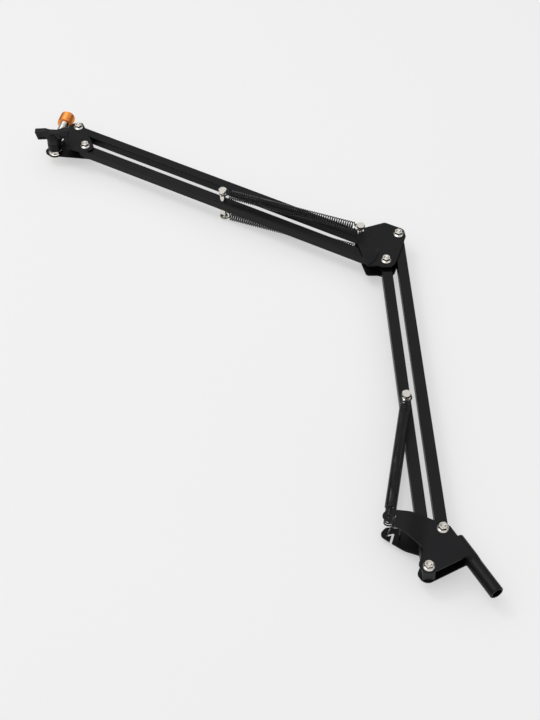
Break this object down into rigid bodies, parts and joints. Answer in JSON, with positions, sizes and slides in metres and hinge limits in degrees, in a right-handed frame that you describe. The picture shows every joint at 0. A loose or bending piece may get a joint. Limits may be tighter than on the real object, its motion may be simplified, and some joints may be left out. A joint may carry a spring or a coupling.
{
  "type": "microphone boom arm",
  "caption": "Sprung scissor boom arm with paired square tubes, folding elbow, base pin for a desk clamp and a tilting threaded microphone stud with a wing knob.",
  "frame": {"origin": "on the axis of the base pin, at the bracket's lower edge where the free length of the pin begins", "axes": "-Y along the pin towards its free end, +Z along the pivots, up as the arm lies on its side in the picture, +X across the arm"},
  "size_m": [0.2673, 0.7246, 0.043],
  "materials": {
    "black_paint": "satin black powder coat on steel",
    "black_spring": "black oxide spring wire, slightly glossy",
    "nickel": "bright nickel plate",
    "steel": "plain turned steel",
    "copper": "copper-coloured plate, polished",
    "black_plastic": "fine matt moulding",
    "nylon": "smooth nylon"
  },
  "bodies": {
    "base": {"base_bracket": "black_paint", "base_pin": "black_paint", "base_pivot_bolts": "nickel", "base_flange_nuts": "nickel", "base_pivot_sleeves": "steel", "base_washers": "nylon"},
    "lower_front_arm": {"lower_front_tube": "black_paint", "lower_front_end_plug": "black_plastic", "lower_front_tongue": "black_paint", "lower_spring_posts": "nickel", "lower_spring_top": "black_spring", "lower_spring_bottom": "black_spring"},
    "lower_rear_arm": {"lower_rear_tube": "black_paint", "lower_rear_end_plugs": "black_plastic"},
    "elbow": {"elbow_top_plate": "black_paint", "elbow_bottom_plate": "black_paint", "elbow_pivot_bolts": "nickel", "elbow_flange_nuts": "nickel", "elbow_pivot_sleeves": "steel", "elbow_washers": "nylon", "elbow_rivet_pin": "black_paint", "elbow_spring_posts": "nickel"},
    "upper_front_arm": {"upper_front_tube": "black_paint", "upper_front_end_plug": "black_plastic", "upper_front_fork": "black_paint", "upper_spring_posts": "nickel", "upper_spring_top": "black_spring", "upper_spring_bottom": "black_spring"},
    "upper_rear_arm": {"upper_rear_tube": "black_paint", "upper_rear_end_plugs": "black_plastic"},
    "head": {"head_top_plate": "black_paint", "head_bottom_plate": "black_paint", "head_pivot_bolts": "nickel", "head_flange_nuts": "nickel", "head_pivot_sleeves": "steel", "head_washers": "nylon", "tilt_bolt": "nickel", "tilt_flange_nut": "nickel"},
    "mic_mount": {"swivel_block": "black_paint", "mic_stud": "nickel", "thread_adapter": "copper"},
    "clamp_knob": {"wing_knob": "black_plastic"}
  },
  "joints": [
    {"name": "lower_arm_swing", "type": "hinge", "parent": "base", "child": "lower_front_arm", "pos_m": [-0.03621, 0.00733, 0], "axis": [0, 0, 1], "range_deg": [-7, 60], "deforming": ["lower_spring_top", "lower_spring_bottom"]},
    {"name": "lower_rear_swing", "type": "hinge", "parent": "base", "child": "lower_rear_arm", "pos_m": [-0.00642, 0.0328, 0], "axis": [0, 0, 1], "range_deg": [-7, 60]},
    {"name": "elbow_level", "type": "hinge", "parent": "lower_front_arm", "child": "elbow", "pos_m": [0.11722, 0.3219, 0], "axis": [0, 0, 1], "range_deg": [-60, 7]},
    {"name": "upper_arm_swing", "type": "hinge", "parent": "elbow", "child": "upper_front_arm", "pos_m": [0.11722, 0.3219, 0], "axis": [0, 0, 1], "range_deg": [-20, 70], "deforming": ["upper_spring_top", "upper_spring_bottom"]},
    {"name": "upper_rear_swing", "type": "hinge", "parent": "elbow", "child": "upper_rear_arm", "pos_m": [0.12346, 0.35431, 0], "axis": [0, 0, 1], "range_deg": [-20, 70]},
    {"name": "head_level", "type": "hinge", "parent": "upper_front_arm", "child": "head", "pos_m": [-0.0688, 0.62427, 0], "axis": [0, 0, 1], "range_deg": [-70, 20]},
    {"name": "mic_tilt", "type": "hinge", "parent": "head", "child": "mic_mount", "pos_m": [-0.09536, 0.64638, 0], "axis": [0, 0, 1], "range_deg": [-5, 185]},
    {"name": "clamp_knob_turn", "type": "hinge", "parent": "head", "child": "clamp_knob", "pos_m": [-0.09536, 0.64638, 0], "axis": [0, 0, 1], "continuous": true}
  ],
  "couplings": [
    {"joint": "lower_rear_swing", "follows": "lower_arm_swing", "ratio": 1},
    {"joint": "elbow_level", "follows": "lower_arm_swing", "ratio": -1},
    {"joint": "upper_rear_swing", "follows": "upper_arm_swing", "ratio": 1},
    {"joint": "head_level", "follows": "upper_arm_swing", "ratio": -1}
  ]
}
